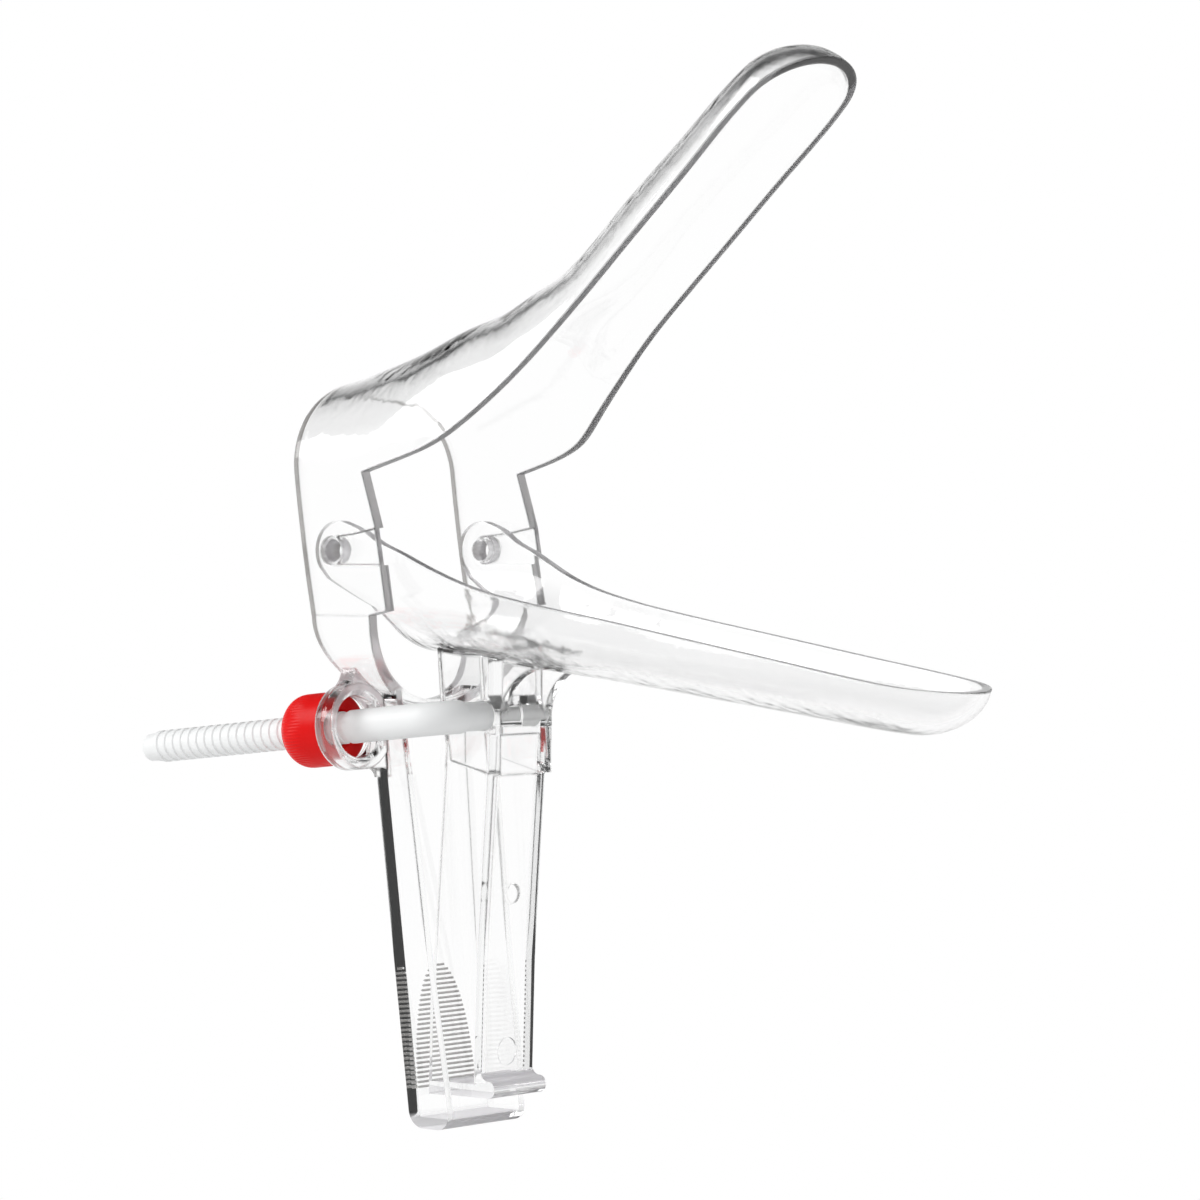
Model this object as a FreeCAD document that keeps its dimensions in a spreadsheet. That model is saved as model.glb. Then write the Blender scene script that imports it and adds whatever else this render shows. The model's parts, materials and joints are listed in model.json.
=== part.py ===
import FreeCAD, Part
import math
import os

import Sketcher
from FreeCAD import Placement, Rotation, Vector

# Side-screw bivalve speculum, shown open, in millimetres.
# X runs forward along the blades, Z is up, Y is sideways with the screw on the -Y side.
# The origin is the middle of the hinge line that joins the two valves.

os.makedirs("parts", exist_ok=True)
doc = FreeCAD.newDocument("speculum")
sheet = doc.addObject("Spreadsheet::Sheet", "Sizes")

# The driving dimensions. Lengths are in mm and angles in degrees.
SIZES = [
    ("blade_length", 115.6, "hinge line to blade tip, measured along the blade"),
    ("blade_half_width", 12.9, "half of the outside width of both blades"),
    ("blade_wall", 1.5, "wall of the blades"),
    ("tip_length", 10.7, "length of the rounded end of a blade"),
    ("tip_depth", 8.3, "depth of both troughs where the rounded end starts"),
    ("upper_depth", 10.3, "depth of the upper blade where it becomes straight"),
    ("lower_depth", 10.9, "depth of the lower blade where it becomes straight"),
    ("upper_angle", 41.7, "rise of the upper blade as photographed"),
    ("upper_rim_drop", 1.1, "how far the upper rim line passes under the hinge line"),
    ("lower_angle", 9.5, "fall of the lower blade"),
    ("lower_rim_drop", 2.3, "how far the lower rim line passes under the hinge line"),
    ("hub_half_width", 20.2, "half of the outside width across the cheeks"),
    ("cheek_wall", 2.0, "wall of the cheeks"),
    ("hub_clearance", 0.3, "gap between a cheek and the ear inside it"),
    ("band_depth", 16.1, "depth of the band that joins the cheeks below"),
    ("band_wall", 1.8, "wall of that band"),
    ("pivot_bore", 4.7, "hole in each cheek"),
    ("pivot_clearance", 0.05, "running gap around a hinge boss"),
    ("boss_bore", 3.6, "hole through a hinge boss"),
    ("boss_length", 1.9, "how far a hinge boss stands out of its ear"),
    ("ear_radius", 4.9, "rounding of the ears round the hinge line"),
    ("rod_diameter", 5.5, "screw rod shank"),
    ("thread_diameter", 5.4, "outside of the thread"),
    ("rod_offset", 17.0, "screw rod axis from the middle plane"),
    ("rod_fall", 5.8, "slope of the screw rod, down towards its free end"),
    ("rod_length", 66.5, "arm axis to the free end of the rod"),
    ("shank_length", 19.0, "arm axis to the start of the thread"),
    ("elbow_radius", 4.5, "bend between the rod and its arm"),
    ("neck_diameter", 4.8, "thicker root of the arm, in the near wall"),
    ("neck_start", 11.0, "start of the neck, from the middle plane"),
    ("arm_diameter", 3.9, "arm that turns in the head"),
    ("arm_reach", 7.4, "end of the arm past the middle plane"),
    ("arm_x", 20.7, "arm axis in front of the hinge line"),
    ("arm_z", -26.9, "arm axis, height"),
    ("arm_clearance", 0.06, "running gap around the arm and its neck"),
    ("eye_x", 1.5, "middle of the screw eye in front of the hinge line"),
    ("eye_outer", 14.2, "screw eye, outside diameter"),
    ("eye_bore", 10.4, "screw eye, bore"),
    ("eye_length", 4.3, "screw eye, length along the rod"),
    ("eye_flare", 0.8, "countersink at both ends of the screw eye"),
    ("nut_diameter", 12.2, "lock nut"),
    ("nut_length", 9.4, "lock nut"),
    ("nut_gap", 0.3, "lock nut to screw eye as photographed"),
    ("nut_clearance", 0.08, "running gap on the thread"),
    ("nut_round", 2.8, "rounding of the outer end of the nut"),
    ("nut_collar", 3.0, "smooth collar of the nut, next to the eye"),
    ("knurl_count", 40, "grooves round the nut"),
    ("knurl_depth", 0.28, "depth of the grooves of the nut"),
    ("lever_half_top", 11.8, "half width of the thumb lever at its top"),
    ("lever_half_foot", 9.4, "half width of the thumb lever at its foot"),
    ("lever_web", 1.8, "back web of the thumb lever"),
    ("lever_flange", 1.3, "side flange of the thumb lever"),
    ("lever_floor", 1.8, "closed foot of the thumb lever"),
    ("lever_foot_z", -94.7, "lowest face of the thumb lever"),
    ("ribs_low", -88.7, "lower end of the grip ribs"),
    ("ribs_high", -68.3, "top of the arch of grip ribs"),
    ("ribs_half_width", 7.0, "half width of the grip ribs"),
    ("rib_pitch", 0.78, "spacing of the grip ribs"),
    ("rib_height", 0.3, "how far a grip rib stands out"),
    ("handle_half", 6.4, "half width of the front handle"),
    ("handle_web", 2.0, "front web of the handle"),
    ("handle_flange", 1.3, "side wall of the handle"),
    ("handle_foot_z", -89.2, "lowest face of the front handle"),
    ("handle_floor", 2.0, "closed foot of the front handle"),
    ("head_half", 6.4, "half width of the head of the front handle"),
    ("head_wall", 1.8, "side walls of the head"),
    ("head_front", 2.0, "front wall of the head"),
]
for row, (alias, value, note) in enumerate(SIZES, start=1):
    sheet.set(f"A{row}", alias)
    sheet.set(f"B{row}", str(value))
    sheet.set(f"C{row}", note)
    sheet.setAlias(f"B{row}", alias)
doc.recompute()


def size(alias):
    """The value of one named size."""
    return float(sheet.get(alias))


def at(x, z, y=0.0):
    """A point given by its place in the side view, and its place across."""
    return Vector(x, y, z)


# Side view outlines, as (x, z). They hold only the points that the shapes need.
UPPER_RIM = [(6.6, 12.8), (15.2, 15.3), (21.3, 17.9), (25.7, 21.2), (32.7, 27.3)]
UPPER_BACK = [(-10.6, 29.0), (-9.3, 21.0), (-8.5, 13.2), (-7.4, 5.0), (-5.1, -8.1), (-4.6, -10.5)]
CHEEK_FRONT = [(9.6, 3.8), (12.0, -9.7), (8.2, -10.5)]
BAND_BACK = [(-4.6, -9.5), (-4.1, -14.6), (-2.4, -19.0), (0.0, -23.0), (1.2, -28.0)]
BAND_FRONT = [(4.4, -28.0), (6.3, -22.4), (7.7, -16.5), (8.2, -9.5)]
LEVER_BACK = [(0.5, -14.0), (1.4, -36.1), (4.6, -67.9), (7.4, -94.7)]
LEVER_FRONT = [(16.2, -94.7), (12.0, -67.0), (8.2, -36.0), (6.0, -22.0)]
LOWER_RIM = [(1.4, 4.7), (4.9, 3.4), (7.7, 1.6), (11.2, 0.1), (16.1, -2.1), (28.7, -6.7), (36.7, -8.4)]
LOWER_BACK = [(-2.6, -4.5), (5.2, -9.0), (6.4, -12.0), (6.6, -20.0)]
HEAD_SIDE = [(10.3, -11.0), (11.4, -25.0), (13.0, -34.4), (22.6, -36.6), (24.4, -36.4), (24.5, -26.5)]
GUSSET = [(24.5, -26.5), (26.2, -22.4), (31.4, -19.2)]
HANDLE_BACK = [(12.6, -30.0), (12.2, -37.0), (9.9, -67.3), (9.4, -89.2)]
HANDLE_FRONT = [(20.1, -89.2), (20.8, -67.0), (23.0, -36.6), (23.2, -30.0)]

# Places along each valve where the cross section is set:
# (x, z of the springing line, half width, depth, lean of the section in degrees, wall).
HUB = size("hub_half_width")
CHEEK = size("cheek_wall")
EAR = HUB - CHEEK - size("hub_clearance")
UPPER_HUB = [
    (-12.5, 13.0, HUB, 14.9, 0.0, CHEEK),
    (-8.5, 13.0, HUB, 15.8, 0.0, CHEEK),
    (6.6, 12.8, HUB, 19.6, 8.0, CHEEK),
    (15.2, 15.3, HUB - 0.4, 19.7, 16.0, 1.9),
    (21.3, 17.9, HUB - 1.6, 19.6, 24.0, 1.8),
    (25.7, 21.2, 16.9, 18.3, 30.0, 1.7),
    (32.7, 27.3, 14.6, 14.8, 36.0, 1.6),
    (37.2, 31.3, 13.6, 13.3, 39.0, 1.5),
]
LOWER_HUB = [
    (-8.0, -1.5, EAR, 14.6, -3.0, 1.6),
    (4.5, -1.5, EAR, 15.2, -3.0, 1.6),
    (11.2, -1.8, EAR - 0.4, 15.3, -5.0, 1.6),
    (16.1, -2.8, EAR - 1.0, 14.8, -6.0, 1.6),
    (20.1, -3.9, 16.2, 13.8, -7.0, 1.6),
    (28.7, -6.7, 15.1, 12.4, -8.0, 1.6),
    (36.7, -8.4, 14.0, 11.7, -9.0, 1.5),
]
TIP_STEPS = [22, 43, 61, 76, 86]


def blade_point(along, drop, angle):
    """A point of a rim line, by its distance along the blade from the hinge line."""
    turn = math.radians(angle)
    return (along * math.cos(turn) + drop * math.sin(turn), along * math.sin(turn) - drop * math.cos(turn))


def stations(hub, straight_from, depth, drop, angle, inset):
    """Sections of one trough: the hub, the straight stretch and the rounded tip.
    inset is 0 for the outside and 1 for the inside of the wall."""
    half, wall = size("blade_half_width"), size("blade_wall")
    tip_from = size("blade_length") - size("tip_length")
    rows = [(x, z, w - inset * t, d - inset * t, lean) for x, z, w, d, lean, t in hub]
    first = rows[0]
    rows[0] = (first[0] - 1.5 * inset,) + first[1:]
    for part in (0.0, 0.35, 0.7, 1.0):
        x, z = blade_point(straight_from + (tip_from - straight_from) * part, drop, angle)
        deep = depth + (size("tip_depth") - depth) * part
        rows.append((x, z, half - inset * wall, deep - inset * wall, angle))
    for step in TIP_STEPS:
        turn = math.radians(step)
        x, z = blade_point(tip_from + (size("tip_length") - inset * wall) * math.sin(turn), drop, angle)
        shrink = math.cos(turn)
        rows.append((x, z, (half - inset * wall) * shrink, (size("tip_depth") - inset * wall) * shrink, angle))
    return rows


def smooth_through(points, marks):
    """A smooth curve through points that it reaches at the given marks."""
    spline = Part.BSplineCurve()
    spline.interpolate(Points=points, Parameters=marks)
    return spline


def skin(rows, side, leg):
    """The solid inside one smooth skin. Each row is one section, made of a half ellipse on
    two straight legs. side is 1 for the upper valve and -1 for the lower one."""
    across = Vector(0, 1, 0)
    poles, near_feet, far_feet, marks = [], [], [], []
    reach, last = 0.0, None
    for x, z, half, depth, lean in rows:
        turn = math.radians(lean)
        out = Vector(-math.sin(turn), 0, math.cos(turn)) * side
        foot = at(x, z)
        points = []
        for k in range(5):
            turn = math.pi * k / 4
            points.append(foot - across * half * math.cos(turn) + out * depth * math.sin(turn))
        arch = Part.BSplineCurve()
        rise = out * (math.pi * depth)
        arch.interpolate(Points=points, Parameters=[k / 4 for k in range(5)],
                         InitialTangent=rise, FinalTangent=rise * -1, Scale=False)
        reach += points[1].distanceToPoint(last) if last else 0.0
        last = points[1]
        marks.append(reach)
        poles.append(arch.getPoles())
        near_feet.append(points[0] - out * leg)
        far_feet.append(points[-1] - out * leg)
    ribs = [smooth_through(list(row), marks) for row in zip(*poles)]
    near, far = smooth_through(near_feet, marks), smooth_through(far_feet, marks)
    roof = Part.BSplineSurface()
    roof.buildFromPolesMultsKnots(
        [rib.getPoles() for rib in ribs], arch.getMultiplicities(), ribs[0].getMultiplicities(),
        arch.getKnots(), ribs[0].getKnots(), False, False, 3, 3)
    faces = [roof.toShape()]
    for one, other in ((ribs[0], near), (near, far), (far, ribs[-1])):
        faces.append(Part.makeRuledSurface(one.toShape(), other.toShape()))
    for mark, row in ((marks[0], 0), (marks[-1], -1)):
        corners = [roof.vIso(mark).StartPoint, near_feet[row], far_feet[row], roof.vIso(mark).EndPoint]
        edges = [Part.makeLine(p, q) for p, q in zip(corners, corners[1:])]
        faces.append(Part.Face(Part.Wire([roof.vIso(mark).toShape()] + edges[::-1])))
    shell = Part.makeShell(faces)
    shell.sewShape()
    solid = Part.makeSolid(shell)
    if solid.Volume < 0:
        solid.reverse()
    return solid


def curve(points, start=None, end=None):
    """A smooth edge through side view points."""
    spline = Part.BSplineCurve()
    places = [at(x, z) for x, z in points]
    if start is None:
        spline.interpolate(Points=places)
    else:
        spline.interpolate(Points=places, InitialTangent=start, FinalTangent=end)
    return spline.toShape()


def lines(points):
    """Straight edges through side view points."""
    places = [at(x, z) for x, z in points]
    return [Part.makeLine(a, b) for a, b in zip(places, places[1:])]


def slab(edges, half=40.0):
    """A side view outline made as thick as the whole object, to cut others to shape."""
    face = Part.Face(Part.Wire(edges))
    face.translate(Vector(0, -half, 0))
    return face.extrude(Vector(0, 2 * half, 0))


def feature(name, shape):
    """Puts a shape into the document as a construction feature."""
    shape = shape.removeSplitter()
    item = doc.addObject("Part::Feature", name)
    item.Shape = shape
    return item


def cylinder(name, radius, height, base, axis):
    """A cylinder whose radius and height are expressions of the sheet."""
    item = doc.addObject("Part::Cylinder", name)
    item.setExpression("Radius", radius)
    item.setExpression("Height", height)
    item.Placement = Placement(base, Rotation(Vector(0, 0, 1), axis))
    return item


def upper_shell():
    """Upper blade, arch and cheeks in one wall."""
    angle, drop = size("upper_angle"), size("upper_rim_drop")
    skins = []
    for inset in (0, 1):
        rows = stations(UPPER_HUB, 58.0, size("upper_depth"), drop, angle, inset)
        skins.append(skin(rows, 1, 40.0 + 4 * inset))
    shell = skins[0].cut(skins[1])
    turn = math.radians(angle)
    along = Vector(math.cos(turn), 0, math.sin(turn))
    straight = blade_point(58.0, drop, angle)
    beyond = blade_point(size("blade_length") + 20, drop, angle)
    top = beyond[1] + 60
    rim = curve(UPPER_RIM + [straight], Vector(0.96, 0, 0.28) * 9, along * 12)
    edges = [rim] + lines([straight, beyond, (beyond[0], top), (UPPER_BACK[0][0], top), UPPER_BACK[0]])
    edges += [curve(UPPER_BACK)]
    edges += lines([UPPER_BACK[-1], CHEEK_FRONT[2], CHEEK_FRONT[1], CHEEK_FRONT[0], UPPER_RIM[0]])
    return shell.common(slab(edges))


def ellipse_rod(half, depth):
    """A long elliptical rod along X, centred under the cheeks."""
    middle = Vector(-30, 0, UPPER_BACK[-1][1])
    ring = Part.Ellipse(middle + Vector(0, half, 0), middle + Vector(0, 0, depth), middle)
    return Part.Face(Part.Wire(ring.toShape())).extrude(Vector(60, 0, 0))


def upper_band():
    """The curved band under the mouth that joins the two cheeks."""
    wall = size("band_wall")
    half, depth = HUB - 0.1, size("band_depth")
    seam = UPPER_BACK[-1][1]
    lower_half = Part.makeBox(60, 80, 60, Vector(-30, -40, seam - 60))
    band = ellipse_rod(half, depth).cut(ellipse_rod(half - wall, depth - wall)).common(lower_half)
    for start in (-half, half - wall):
        band = band.fuse(Part.makeBox(60, wall, 1.0, Vector(-30, start, seam)))
    edges = [curve(BAND_BACK), curve(BAND_FRONT)]
    edges += lines([BAND_BACK[-1], BAND_FRONT[0]]) + lines([BAND_FRONT[-1], BAND_BACK[0]])
    return band.common(slab(Part.__sortEdges__(edges)))


def front_view(half_top, half_foot, top, foot):
    """A block cut to a taper in the front view."""
    corners = [Vector(-40, -half_top, top), Vector(-40, half_top, top),
               Vector(-40, half_foot, foot), Vector(-40, -half_foot, foot)]
    return Part.Face(Part.makePolygon(corners + corners[:1])).extrude(Vector(100, 0, 0))


def moved(points, dx, dz=0.0):
    """The same side view points, shifted."""
    return [(x + dx, z + dz) for x, z in points]


def thumb_lever():
    """Channel behind the front handle: back web, two flanges and a closed, rounded foot."""
    foot, top = size("lever_foot_z"), LEVER_BACK[0][1]
    half_top, half_foot = size("lever_half_top"), size("lever_half_foot")
    web, flange = size("lever_web"), size("lever_flange")
    heel, toe = LEVER_BACK[-1][0], LEVER_FRONT[0][0]
    back = LEVER_BACK[:-1] + [(heel - 0.3, foot + 3.0)]
    front = [(toe - 0.4, foot + 2.6)] + LEVER_FRONT[1:]
    edges = lines(back)
    edges.append(Part.Arc(at(heel - 0.3, foot + 3.0), at(heel + 0.6, foot + 0.9), at(heel + 2.8, foot)).toShape())
    edges += lines([(heel + 2.8, foot), (toe - 2.8, foot)])
    edges.append(Part.Arc(at(toe - 2.8, foot), at(toe - 1.0, foot + 0.8), at(toe - 0.4, foot + 2.6)).toShape())
    edges += lines(front + [(LEVER_FRONT[-1][0], top), back[0]])
    block = slab(edges).common(front_view(half_top, half_foot, top + 1, foot - 1))
    inside = moved(LEVER_BACK[:-1] + [(heel, foot)], web)
    room = inside + [(60, foot), (60, top + 2), (inside[0][0], top + 2), inside[0]]
    hollow = slab(lines(room)).common(
        front_view(half_top - flange, half_foot - flange, top + 2, foot + size("lever_floor")))
    return block.cut(hollow).cut(ellipse_rod(HUB - size("band_wall"), size("band_depth") - size("band_wall")))


def thumb_ribs():
    """Fine grip ribs across the back of the lever, inside an arched outline."""
    low, high, half = size("ribs_low"), size("ribs_high"), size("ribs_half_width")
    pitch, height = size("rib_pitch"), size("rib_height")
    (upper_x, upper_z), (lower_x, lower_z) = LEVER_BACK[-2], LEVER_BACK[-1]
    slope = (lower_x - upper_x) / (lower_z - upper_z)
    ribs = []
    count = int((high - low) / pitch)
    for k in range(count):
        z = low + (k + 0.5) * pitch
        x = upper_x + (z - upper_z) * slope
        rise = (z - low) / (high - low)
        reach = half * math.sqrt(1.0 - rise ** 2)
        ridge = lines([(x + 0.15, z - 0.36 * pitch), (x - height, z), (x + 0.15, z + 0.36 * pitch),
                       (x + 0.15, z - 0.36 * pitch)])
        ribs.append(slab(ridge, reach))
    return Part.makeCompound(ribs)


def rod_axis():
    """Direction along the screw rod, from the arm to the free end."""
    turn = math.radians(size("rod_fall"))
    return Vector(-math.cos(turn), 0, -math.sin(turn))


def eye_middle():
    """Middle of the screw eye, on the axis of the rod."""
    arm = Vector(size("arm_x"), -size("rod_offset"), size("arm_z"))
    return arm + rod_axis() * ((size("arm_x") - size("eye_x")) / math.cos(math.radians(size("rod_fall"))))


def eye_neck():
    """Wall between the band, the screw eye and the lever flange, with a hollow outer corner."""
    y, z = -size("rod_offset"), eye_middle().z
    places = [(y + 0.4, z + 10.7), (y - 0.1, z + 8.7), (y - 1.8, z + 6.7)]
    corner = Part.Arc(*[Vector(0, a, b) for a, b in places]).toShape()
    rest = [places[-1], (y - 1.0, z + 5.6), (y, z - 5.8), (y + 0.8, z - 7.0), (y + 4.8, z - 7.0)]
    bend = Part.Arc(*[Vector(0, a, b) for a, b in
                      ((y + 4.8, z - 7.0), (y + 5.8, z - 7.4), (y + 6.2, z - 8.4))]).toShape()
    last = [(y + 6.2, z - 8.4), (y + 7.4, z - 8.4), (y + 7.4, z + 5.2), (y + 4.0, z + 7.2), places[0]]
    edges = [corner, bend]
    for chain in (rest, last):
        points = [Vector(0, a, b) for a, b in chain]
        edges += [Part.makeLine(p, q) for p, q in zip(points, points[1:])]
    face = Part.Face(Part.Wire(Part.__sortEdges__(edges)))
    thick = size("eye_length") - 1.0
    face.translate(Vector(eye_middle().x - thick / 2, 0, 0))
    wall = face.extrude(Vector(thick, 0, 0))
    wall.rotate(eye_middle(), Vector(0, 1, 0), -size("rod_fall"))
    return wall.cut(ellipse_rod(HUB - size("band_wall"), size("band_depth") - size("band_wall")))


def upper_valve():
    """Upper blade, cheeks, band, thumb lever and screw eye, moulded in one piece."""
    middle, axis = eye_middle(), rod_axis()
    start = middle - axis * (size("eye_length") / 2)
    eye = cylinder("eye_boss", "Sizes.eye_outer / 2", "Sizes.eye_length", start, axis)
    round_eye = doc.addObject("Part::Fillet", "round_eye")
    round_eye.Base = eye
    round_eye.Edges = [(1, 0.9, 0.9), (3, 0.9, 0.9)]
    solid = doc.addObject("Part::MultiFuse", "upper_solid")
    solid.Shapes = [
        feature("upper_shell", upper_shell()),
        feature("upper_band", upper_band()),
        feature("thumb_lever", thumb_lever()),
        feature("eye_neck", eye_neck()),
        feature("thumb_ribs", thumb_ribs()),
        round_eye,
    ]
    solid.Refine = True
    width = size("hub_half_width") + 5
    bore = cylinder("cheek_bores", "Sizes.pivot_bore / 2", "2 * (Sizes.hub_half_width + 5)",
                    Vector(0, -width, 0), Vector(0, 1, 0))
    eye_bore = cylinder("eye_hole", "Sizes.eye_bore / 2", "Sizes.eye_length + 8",
                        middle - axis * (size("eye_length") / 2 + 4), axis)
    flares = []
    for name, place, out in (("front_flare", start, -1), ("rear_flare", middle * 2 - start, 1)):
        flare = doc.addObject("Part::Cone", name)
        flare.setExpression("Radius1", "Sizes.eye_bore / 2 + Sizes.eye_flare + 0.5")
        flare.setExpression("Radius2", "Sizes.eye_bore / 2 - 0.5")
        flare.setExpression("Height", "Sizes.eye_flare + 1")
        flare.Placement = Placement(place + axis * (0.5 * out), Rotation(Vector(0, 0, 1), axis * -out))
        flares.append(flare)
    half_bore = size("pivot_bore") / 2
    funnel = [(0, -half_bore), (0, half_bore), (4.0, half_bore + 0.4), (14.0, half_bore + 2.2),
              (14.0, -half_bore), (0, -half_bore)]
    lead = slab(lines(funnel), HUB - CHEEK / 2)
    holes = doc.addObject("Part::MultiFuse", "upper_holes")
    holes.Shapes = [bore, eye_bore, feature("lead_in", lead)] + flares
    valve = doc.addObject("Part::Cut", "upper_valve")
    valve.Base = solid
    valve.Tool = holes
    valve.Refine = True
    return valve


def lower_shell():
    """Lower blade and the two ears, in one wall."""
    angle, drop = -size("lower_angle"), size("lower_rim_drop")
    skins = []
    for inset in (0, 1):
        rows = stations(LOWER_HUB, 50.0, size("lower_depth"), drop, angle, inset)
        skins.append(skin(rows, -1, 14.0 + 4 * inset))
    shell = skins[0].cut(skins[1])
    turn = math.radians(angle)
    along = Vector(math.cos(turn), 0, math.sin(turn))
    straight = blade_point(50.0, drop, angle)
    beyond = blade_point(size("blade_length") + 20, drop, angle)
    low = beyond[1] - 40
    radius = size("ear_radius")
    top = at(radius * math.cos(math.radians(74)), radius * math.sin(math.radians(74)))
    heel = at(radius * math.cos(math.radians(214)), radius * math.sin(math.radians(214)))
    ear = Part.Arc(top, at(radius * math.cos(math.radians(144)), radius * math.sin(math.radians(144))), heel)
    rim = curve([(top.x, top.z)] + LOWER_RIM[1:] + [straight], Vector(0.85, 0, -0.3) * 4, along * 10)
    edges = [rim] + lines([straight, beyond, (beyond[0], low), (LOWER_BACK[-1][0], low)] + LOWER_BACK[::-1])
    edges += lines([LOWER_BACK[0], (heel.x, heel.z)]) + [ear.toShape()]
    return shell.common(slab(Part.__sortEdges__(edges))), skins[1]


def handle_head(inner):
    """Hollow head that carries the arm of the screw, with two hollow-curved gussets up to the blade."""
    half, wall, front = size("head_half"), size("head_wall"), size("head_front")
    top = -11.0
    edges = lines(HEAD_SIDE) + [Part.Arc(*[at(x, z) for x, z in GUSSET]).toShape()]
    edges += lines([GUSSET[-1], (GUSSET[-1][0] + 2.0, top), HEAD_SIDE[0]])
    block = slab(edges, half)
    face = HEAD_SIDE[-1][0]
    room = [(0.0, -5.0), (0.0, -60.0), (face - front, -60.0), (face - front, -25.5), (face - front - 1.6, -23.6),
            (face - front - 1.6, -5.0), (0.0, -5.0)]
    hollow = slab(lines(room), half - wall)
    ahead = [(face, -27.0), (face - 0.6, -24.6), (face - 0.6, -5.0), (60.0, -5.0), (60.0, -27.0), (face, -27.0)]
    between = slab(lines(ahead), half - wall)
    return block.cut(hollow).cut(between).cut(inner)


def front_handle():
    """Channel below the head: front web, two side walls, a closed foot and a rounded lip."""
    half, web, flange = size("handle_half"), size("handle_web"), size("handle_flange")
    foot = size("handle_foot_z")
    floor = foot + size("handle_floor")
    outline = HANDLE_BACK[:-1] + [(HANDLE_BACK[-1][0], foot), (HANDLE_FRONT[0][0], foot)] + HANDLE_FRONT[1:]
    block = slab(lines(outline + outline[:1]), half)
    front = moved([(HANDLE_FRONT[0][0], floor)] + HANDLE_FRONT[1:], -web)
    room = [(0.0, floor)] + front + [(front[-1][0], -20.0), (0.0, -20.0), (0.0, floor)]
    hollow = slab(lines(room), half - flange)
    lip = lines([(18.6, foot + 4.4), (18.6, foot), (21.8, foot)])
    lip.append(Part.Arc(at(21.8, foot), at(23.2, foot + 1.4), at(21.8, foot + 2.8)).toShape())
    lip.append(Part.Arc(at(21.8, foot + 2.8), at(20.7, foot + 3.2), at(20.2, foot + 4.4)).toShape())
    lip += lines([(20.2, foot + 4.4), (18.6, foot + 4.4)])
    return block.fuse(slab(lip, half)).cut(hollow)


def lower_valve():
    """Lower blade, ears, head and front handle, moulded in one piece."""
    shell, inner = lower_shell()
    ear_face = EAR - 0.8
    reach = EAR + size("boss_length")
    boss_far = cylinder("far_boss", "Sizes.pivot_bore / 2 - Sizes.pivot_clearance",
                        "Sizes.boss_length + 0.8", Vector(0, ear_face, 0), Vector(0, 1, 0))
    boss_near = cylinder("near_boss", "Sizes.pivot_bore / 2 - Sizes.pivot_clearance",
                         "Sizes.boss_length + 0.8", Vector(0, -reach, 0), Vector(0, 1, 0))
    solid = doc.addObject("Part::MultiFuse", "lower_solid")
    solid.Shapes = [
        feature("lower_shell", shell),
        feature("handle_head", handle_head(inner)),
        feature("front_handle", front_handle()),
        boss_far,
        boss_near,
    ]
    solid.Refine = True
    through = cylinder("boss_bores", "Sizes.boss_bore / 2", "2 * (Sizes.hub_half_width + 5)",
                       Vector(0, -HUB - 5, 0), Vector(0, 1, 0))
    arm_seat = cylinder("arm_seat", "Sizes.arm_diameter / 2 + Sizes.arm_clearance", "2 * Sizes.head_half",
                        Vector(size("arm_x"), 0, size("arm_z")), Vector(0, 1, 0))
    neck_seat = cylinder("neck_seat", "Sizes.neck_diameter / 2 + Sizes.arm_clearance", "2 * Sizes.head_half",
                         Vector(size("arm_x"), -2 * size("head_half"), size("arm_z")), Vector(0, 1, 0))
    marks = []
    for name, radius, depth, x, z in (("gate_mark", 1.6, 0.25, 21.55, -56.2), ("ejector_mark", 2.3, 0.2, 20.3, -82.1)):
        mark = doc.addObject("Part::Cylinder", name)
        mark.Radius = radius
        mark.Height = 3.0
        mark.Placement = Placement(Vector(x - depth, 0, z), Rotation(Vector(0, 0, 1), Vector(1, 0, 0)))
        marks.append(mark)
    holes = doc.addObject("Part::MultiFuse", "lower_holes")
    holes.Shapes = [through, arm_seat, neck_seat] + marks
    valve = doc.addObject("Part::Cut", "lower_valve")
    valve.Base = solid
    valve.Tool = holes
    valve.Refine = True
    return valve


def origin_plane(body, role):
    """The body's own origin plane of that role."""
    return [item for item in body.Origin.OriginFeatures if item.Role == role][0]


def sketch_on(body, role, name):
    """A new sketch on one of the body's own planes."""
    sketch = body.newObject("Sketcher::SketchObject", name)
    sketch.AttachmentSupport = (origin_plane(body, role), [""])
    sketch.MapMode = "FlatFace"
    return sketch


def closed_profile(sketch, points):
    """A closed chain of lines. Each point is (x, y), and each of the two is either 0
    or an expression of the sheet, which then drives that place."""
    places = []
    for pair in points:
        places.append([0.0 if item == 0 else value_of(item) for item in pair])
    count = len(points)
    for k in range(count):
        a, b = places[k], places[(k + 1) % count]
        sketch.addGeometry(Part.LineSegment(Vector(a[0], a[1], 0), Vector(b[0], b[1], 0)), False)
    for k in range(count):
        sketch.addConstraint(Sketcher.Constraint("Coincident", k, 2, (k + 1) % count, 1))
    for k in range(count):
        for index, kind, axis in ((0, "DistanceX", -2), (1, "DistanceY", -1)):
            wanted = points[k][index]
            if wanted == 0:
                sketch.addConstraint(Sketcher.Constraint("PointOnObject", k, 1, axis))
            else:
                number = sketch.addConstraint(
                    Sketcher.Constraint(kind, -1, 1, k, 1, places[k][index]))
                sketch.setExpression(f"Constraints[{number}]", wanted)


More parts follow.
